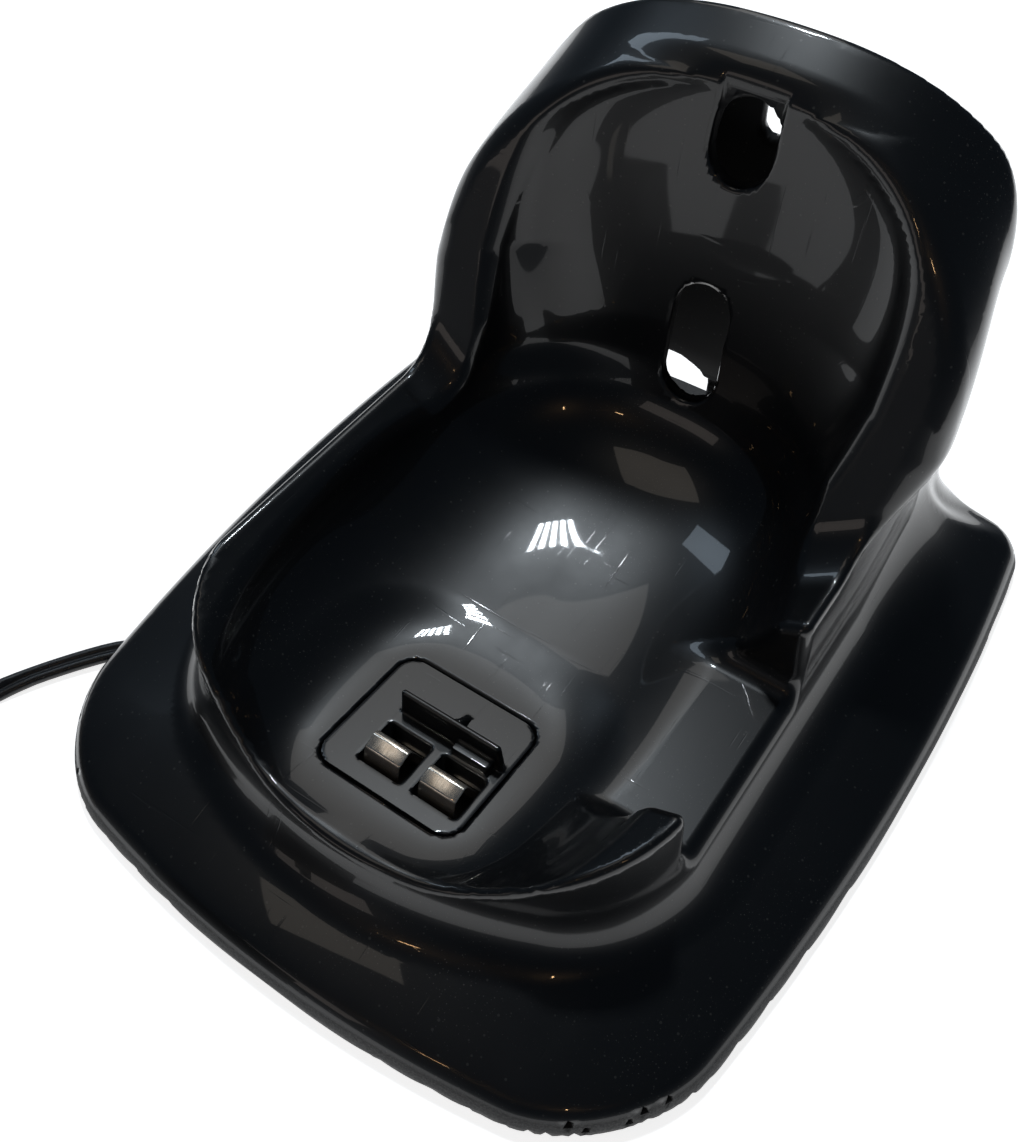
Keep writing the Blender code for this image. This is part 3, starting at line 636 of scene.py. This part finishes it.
def finish_nodes(materials):
    """Gives every CAD node that still shows its procedural material."""
    for name, thing in NODES.items():
        kind = next((k for start, k in NODE_FINISH if name.startswith(start)), "matt")
        thing.data.materials.clear()
        thing.data.materials.append(materials[kind])


def swept(name, path, sections, finish):
    """A tube of cross-sections along a path. A section is a list of (across, up) pairs."""
    path = np.asarray(path, float)
    ahead = np.gradient(path, axis=0)
    ahead /= np.linalg.norm(ahead, axis=1, keepdims=True)
    side = np.cross(ahead, (0.0, 0.0, 1.0))
    side /= np.linalg.norm(side, axis=1, keepdims=True)
    up = np.cross(side, ahead)
    rings = np.asarray(sections, float)
    points = path[:, None] + side[:, None] * rings[..., :1] + up[:, None] * rings[..., 1:]
    count = rings.shape[1]
    index = np.arange(len(path) * count).reshape(len(path), count)
    after = np.roll(index, -1, axis=1)
    quads = np.stack((index[:-1], index[1:], after[1:], after[:-1]), -1).reshape(-1, 4)
    made = mesh_object(name, points.reshape(-1, 3), quads, finish)
    fill_ends(made, index[0].tolist(), index[-1][::-1].tolist())
    return made


def fill_ends(thing, first, last):
    """Closes a tube's two ends and turns its faces outwards."""
    mesh = thing.data
    edit = bmesh.new()
    edit.from_mesh(mesh)
    edit.verts.ensure_lookup_table()
    for ring in (first, last):
        edit.faces.new([edit.verts[i] for i in ring])
    bmesh.ops.recalc_face_normals(edit, faces=edit.faces)
    edit.to_mesh(mesh)
    edit.free()
    mesh.shade_smooth()
    mesh.set_sharp_from_angle(angle=math.radians(50))


def smooth_route(points, step):
    """A curve through given points, with a point about every step."""
    found = []
    points = [np.asarray(p, float) for p in points]
    for i in range(len(points) - 1):
        before, start = points[max(i - 1, 0)], points[i]
        end, after = points[i + 1], points[min(i + 2, len(points) - 1)]
        pieces = max(1, round(np.linalg.norm(end - start) / step))
        for t in np.arange(pieces) / pieces:
            found.append(0.5 * (2 * start + (end - before) * t
                                + (2 * before - 5 * start + 4 * end - after) * t**2
                                + (3 * start - before - 3 * end + after) * t**3))
    return found + [points[-1]]


def coil_route():
    """Turns side by side in each layer, in and out by turns, starting on the side towards the base."""
    route = []
    for i in range(int(COIL_TURNS * COIL_STEPS) + 1):
        turn, part = divmod(i / COIL_STEPS, 1.0)
        here, later = int(turn), min(int(turn) + 1, len(COIL_COLUMNS) - 1)
        share = float(smooth_step((part - CROSSES_AT) / CROSSES_OVER)) if turn < 10 else 0.0
        column = COIL_COLUMNS[here] + (COIL_COLUMNS[later] - COIL_COLUMNS[here]) * share
        layer = COIL_LAYERS[here] + (COIL_LAYERS[later] - COIL_LAYERS[here]) * share
        angle = -math.tau * i / COIL_STEPS
        radius = COIL_RADIUS + COIL_PITCH * (column - 1)
        route.append((COIL_AT[0] + radius * math.cos(angle), COIL_AT[1] + radius * math.sin(angle),
                      CORD_WIDTH / 2 + 0.1 + COIL_PITCH * layer))
    return route


def figure_eight(count=14):
    """The twin lead's section: two round cores side by side, with a groove between them."""
    half = CORD_WIDTH / 4
    section = []
    for side in (1, -1):
        for i in range(count):
            angle = math.radians(-150 + 300 * i / (count - 1)) + (0 if side > 0 else math.pi)
            section.append((side * half + half * math.cos(angle), half * math.sin(angle)))
    return section


def twin_lead(finish):
    """The whole lead, from the clamp inside the base to the supply's strain relief."""
    ux, uy = math.cos(ADAPTOR_TURN), math.sin(ADAPTOR_TURN)
    tail = [(ADAPTOR_AT[0] + ux * (RELIEF_END + t), ADAPTOR_AT[1] + uy * (RELIEF_END + t), RELIEF_Z)
            for t in (13.0, 6.0, 0.0)]
    coil = coil_route()
    route = smooth_route(CORD_ROUTE + COIL_LEAD_IN, 3.0)[:-1] + coil
    route += smooth_route([coil[-1], *COIL_LEAD_OUT, *tail], 3.0)[1:]
    path = np.array(route)
    path[:, 2] = np.maximum(path[:, 2], CORD_WIDTH / 4 + 0.05)
    away = np.linalg.norm(path[:, :2] - COIL_AT, axis=1)
    roll = COIL_ROLL * smooth_step((FLAT_BEYOND - away) / FLATTENS_OVER)
    base = np.array(figure_eight())
    cos, sin = np.cos(roll)[:, None], np.sin(roll)[:, None]
    sections = np.stack((base[:, 0] * cos - base[:, 1] * sin, base[:, 0] * sin + base[:, 1] * cos), -1)
    made = swept("twin_lead", path, sections, finish)
    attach(made, "base")
    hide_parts("power_cord", "cord_coil", "cord_tail")


def from_panel(points):
    """Panel-local points (across, back, up) in the base's own axes."""
    points = np.asarray(points, float)
    cos, sin = math.cos(PANEL_TILT), math.sin(PANEL_TILT)
    return np.stack((points[..., 0], PANEL_Y + points[..., 1] * cos - points[..., 2] * sin,
                     PANEL_Z + points[..., 1] * sin + points[..., 2] * cos), -1)


def block_field(x, y, z, low, high, rounding):
    """A box between two corners with rounded edges."""
    u = np.maximum(low[0] - x, x - high[0])
    v = np.maximum(low[1] - y, y - high[1])
    return soft_corner(soft_corner(u, v, rounding), np.maximum(low[2] - z, z - high[2]), rounding)


def panel_field(x, y, z):
    """The contact panel: plate and flange, rib with its gusset, ledge, and a window for each contact."""
    outline = soft_corner(np.abs(x) - PANEL_HALF[0], np.abs(y) - PANEL_HALF[1], PANEL_CORNER)
    plate = soft_corner(outline, np.maximum(z, -4.8 - z), 0.2)
    flange = block_field(x, y, z, (-23.5, -14.0, -5.0), (23.5, 14.0, -3.2), 0.3)
    rib = block_field(x, y, z, (-8.4, 2.5, -2.0), (14.4 - 0.25 * np.maximum(z, 0.0), 3.7, 5.5), 0.5)
    gusset = block_field(x, y, z, (1.9, 3.0, -0.5), (3.1, 9.6, 4.4), 0.3)
    gusset = np.maximum(gusset, (z - 4.2 + (y - 3.7) * 0.8) * 0.78)
    ledge = block_field(x, y, z, (4.6, 0.3, -2.0), (12.4, 2.8, 2.0), 0.3)
    made = np.minimum(np.minimum(plate, flange), soft_join(np.minimum(rib, gusset), ledge, 0.3))
    for at in CONTACT_X:
        window = soft_corner(np.abs(x - at) - WINDOW_HALF[0], np.abs(y - CONTACT_Y) - WINDOW_HALF[1], 0.8)
        made = soft_corner(made, -window, 0.3)
    return made


def contact_panel(finish):
    """The panel in the bowl's floor. Its mesh is worked out in the panel's own axes."""
    axes = [np.arange(-half, half, PANEL_CELL) for half in (24.2, 15.0, 6.2)]
    points, faces = surface_of(panel_field, axes)
    points = settle(panel_field, points, PANEL_CELL)
    made = mesh_object("contact_panel", from_panel(points), faces, finish)
    made.data.set_sharp_from_angle(angle=math.radians(60))
    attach(made, "base")
    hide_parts("contact_carrier")


def filleted(line, trim, steps=5):
    """A bent line with each bend rounded off."""
    line = [np.asarray(p, float) for p in line]
    found = [line[0]]
    for before, bend, after in zip(line, line[1:], line[2:]):
        near, far = before - bend, after - bend
        start = bend + near * min(0.45, trim / np.linalg.norm(near))
        end = bend + far * min(0.45, trim / np.linalg.norm(far))
        found += [start * (1 - t) ** 2 + 2 * bend * t * (1 - t) + end * t * t
                  for t in np.linspace(0, 1, steps)]
    return np.array(found + [line[-1]])


def spring_contact(side, x, finish):
    """A folded strip with rounded bends and slightly rounded edges, which travels down with its joint."""
    line = filleted([(CONTACT_Y + back, up) for back, up in CONTACT_LINE], CONTACT_BEND)
    ahead = np.gradient(line, axis=0)
    ahead /= np.linalg.norm(ahead, axis=1, keepdims=True)
    normal = np.stack((-ahead[:, 1], ahead[:, 0]), 1)
    rings = []
    for across, share in CONTACT_EDGES:
        half = CONTACT_THICK / 2 * share
        outline = np.concatenate((line + normal * half, (line - normal * half)[::-1]))
        rings.append(np.column_stack((np.full(len(outline), x + across * CONTACT_WIDTH), outline)))
    count = len(rings[0])
    index = np.arange(len(rings) * count).reshape(len(rings), count)
    after = np.roll(index, -1, axis=1)
    quads = np.stack((index[:-1], index[1:], after[1:], after[:-1]), -1).reshape(-1, 4)
    half = count // 2
    for ring, flip in ((index[0], 1), (index[-1], -1)):
        caps = [(ring[i], ring[i + 1], ring[count - 2 - i], ring[count - 1 - i])[::flip]
                for i in range(half - 1)]
        quads = np.concatenate((quads, caps))
    made = mesh_object(f"spring_contact_{side}", from_panel(np.concatenate(rings)), quads, finish)
    edit = bmesh.new()
    edit.from_mesh(made.data)
    bmesh.ops.recalc_face_normals(edit, faces=edit.faces)
    edit.to_mesh(made.data)
    edit.free()
    made.data.set_sharp_from_angle(angle=math.radians(40))
    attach(made, f"{side}_contact")
    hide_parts(f"contact_{side}")


def camera():
    """The camera at the object's front right, looking down into the bowl."""
    azimuth, elevation, roll = CAMERA_ANGLES
    forward = Vector((-math.sin(azimuth) * math.cos(elevation), math.cos(azimuth) * math.cos(elevation),
                      -math.sin(elevation)))
    right = Vector((math.cos(azimuth), math.sin(azimuth), 0.0))
    up = right.cross(forward)
    turned = right * math.cos(roll) + up * math.sin(roll)
    data = bpy.data.cameras.new("camera")
    data.sensor_width = 36.0
    data.lens = CAMERA_LENS
    data.clip_start = 0.01
    made = bpy.data.objects.new("camera", data)
    bpy.context.scene.collection.objects.link(made)
    made.matrix_world = Matrix.Translation(CAMERA_AT) @ Matrix(
        (turned, turned.cross(forward), -forward)).transposed().to_4x4()
    bpy.context.scene.camera = made


def glow(name, toward, distance, size, radiance, colour):
    """A softbox in a direction seen from the base, set by how bright it looks in a reflection."""
    data = bpy.data.lights.new(name, "AREA")
    data.shape = "RECTANGLE"
    data.size, data.size_y = size
    data.energy = radiance * math.pi * size[0] * size[1]
    data.color = colour
    made = bpy.data.objects.new(name, data)
    target = Vector(LIGHTS_AIM) * MM
    made.location = target + Vector(toward).normalized() * distance
    made.rotation_euler = (target - made.location).to_track_quat("-Z", "Y").to_euler()
    bpy.context.scene.collection.objects.link(made)


def studio():
    """A dim room with a white floor, a barred window high up behind, and a few softboxes."""
    world = bpy.data.worlds.new("world")
    bpy.context.scene.world = world
    world.use_nodes = True
    background = world.node_tree.nodes["Background"]
    background.inputs["Color"].default_value = (0.55, 0.75, 1.0, 1)
    background.inputs["Strength"].default_value = 0.06
    bpy.ops.mesh.primitive_plane_add(size=6)
    floor = bpy.context.object
    floor.name = "floor"
    made, _, shader = new_material("floor_white", (0.9, 0.9, 0.9), 0.9)
    shader.inputs["Emission Color"].default_value = (1.0, 1.0, 1.0, 1.0)
    shader.inputs["Emission Strength"].default_value = 0.8
    floor.data.materials.append(made)
    for i in range(WINDOW_BARS):
        shift = (i - (WINDOW_BARS - 1) / 2) * 0.018
        toward = (-0.25 + shift * 0.8, 0.36 + shift * 0.6, 0.9)
        glow(f"window_{i}", toward, 1.2, (0.01, 0.1), 260.0, (0.86, 0.94, 1.0))
    glow("ceiling", (-0.38, 0.62, 0.72), 2.0, (0.7, 0.8), 1.3, (1.0, 0.97, 0.93))
    glow("above", (-0.34, -0.15, 0.93), 2.0, (0.6, 0.5), 1.0, (1.0, 0.9, 0.78))
    glow("front", (-0.34, -0.84, 0.37), 2.0, (0.8, 0.5), 0.9, (1.0, 0.88, 0.8))
    glow("sheen", (-0.62, 0.2, 0.75), 1.5, (0.2, 0.5), 4.0, (0.7, 0.85, 1.0))
    glow("warm_1", (0.4, -0.5, 0.77), 1.3, (0.015, 0.08), 60.0, (1.0, 0.62, 0.3))
    glow("warm_2", (-0.05, -0.68, 0.73), 1.3, (0.08, 0.012), 60.0, (1.0, 0.62, 0.3))
    bpy.context.scene.view_settings.view_transform = "Standard"


camera()
MATERIALS = {"gloss": gloss_black(), "matt": matt_plastic("matt_moulding", (0.02, 0.02, 0.021)),
             "rubber": matt_plastic("foot_rubber", (0.028, 0.028, 0.027), 0.8), "nickel": nickel(),
             "steel": steel(), "lead": lead_jacket(),
             "adaptor": matt_plastic("adaptor_moulding", (0.018, 0.018, 0.019), 0.42)}
twin_lead(MATERIALS["lead"])
finish_nodes(MATERIALS)
shell(MATERIALS["gloss"])
contact_panel(MATERIALS["gloss"])
for side, at in zip(("left", "right"), CONTACT_X):
    spring_contact(side, at, MATERIALS["nickel"])
studio()
